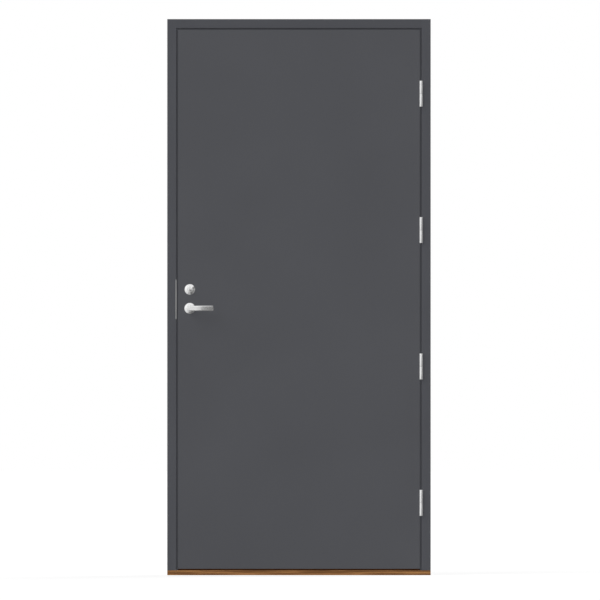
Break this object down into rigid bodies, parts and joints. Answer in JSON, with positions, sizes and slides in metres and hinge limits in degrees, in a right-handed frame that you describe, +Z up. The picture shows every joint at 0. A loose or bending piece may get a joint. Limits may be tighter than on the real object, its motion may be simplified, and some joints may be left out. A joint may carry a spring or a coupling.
{
  "type": "storage door in its frame",
  "caption": "Flush outward-opening storage door with its timber frame, oak threshold, lift-off hinges, key cylinder and lever handles.",
  "frame": {"origin": "centre of the threshold's underside", "axes": "+Z up, +X towards the hinges as seen from outside, +Y inwards, through the wall"},
  "size_m": [0.99, 0.174, 2.09],
  "materials": {
    "painted_frame": "dark grey satin paint on timber",
    "oiled_oak": "oiled oak, straight grain",
    "seal_rubber": "matt black",
    "threshold_rubber": "matt, dark brown",
    "hinge_steel": "zinc-plated, satin",
    "strike_steel": "brushed",
    "painted_sheet": "dark grey satin paint on smooth board",
    "painted_edge": "dark grey satin paint on timber",
    "core_board": "raw insulating board",
    "lock_steel": "brushed",
    "handle_satin": "satin nickel",
    "cylinder_brass": "satin nickel on brass"
  },
  "bodies": {
    "frame": {"frame_head": "painted_frame", "hinge_jamb": "painted_frame", "lock_jamb": "painted_frame", "oak_threshold": "oiled_oak", "head_seal": "seal_rubber", "hinge_jamb_seal": "seal_rubber", "lock_jamb_seal": "seal_rubber", "threshold_seal": "threshold_rubber", "strike_plate": "strike_steel", "frame_hinge_half_1": "hinge_steel", "hinge_pin_1": "hinge_steel", "frame_hinge_half_2": "hinge_steel", "hinge_pin_2": "hinge_steel", "frame_hinge_half_3": "hinge_steel", "hinge_pin_3": "hinge_steel", "frame_hinge_half_4": "hinge_steel", "hinge_pin_4": "hinge_steel"},
    "leaf": {"outer_face_sheet": "painted_sheet", "inner_face_sheet": "painted_sheet", "hinge_stile": "painted_edge", "lock_stile": "painted_edge", "top_rail": "painted_edge", "bottom_rail": "painted_edge", "leaf_core": "core_board", "lock_case": "lock_steel", "lock_faceplate": "lock_steel", "latch_bolt": "lock_steel", "dead_bolt": "lock_steel", "outer_handle_rose": "handle_satin", "inner_handle_rose": "handle_satin", "cylinder_ring": "handle_satin", "cylinder_body": "cylinder_brass", "turn_knob_rose": "handle_satin", "turn_knob": "handle_satin", "leaf_hinge_half_1": "hinge_steel", "leaf_hinge_half_2": "hinge_steel", "leaf_hinge_half_3": "hinge_steel", "leaf_hinge_half_4": "hinge_steel"},
    "levers": {"outer_lever": "handle_satin", "inner_lever": "handle_satin", "lever_spindle": "lock_steel"},
    "key_plug": {"cylinder_plug": "cylinder_brass"}
  },
  "joints": [
    {"name": "leaf_swing", "type": "hinge", "parent": "frame", "child": "leaf", "pos_m": [0.459, -0.06, 0], "axis": [0, 0, 1], "range_deg": [0, 175]},
    {"name": "lever_turn", "type": "hinge", "parent": "leaf", "child": "levers", "pos_m": [-0.41, 0, 1.003], "axis": [0, 1, 0], "range_deg": [0, 45], "stiffness_Nm_per_rad": 0.8, "springref_deg": -34.38},
    {"name": "key_turn", "type": "hinge", "parent": "leaf", "child": "key_plug", "pos_m": [-0.41, -0.0525, 1.074], "axis": [0, 1, 0], "range_deg": [-90, 90]}
  ]
}
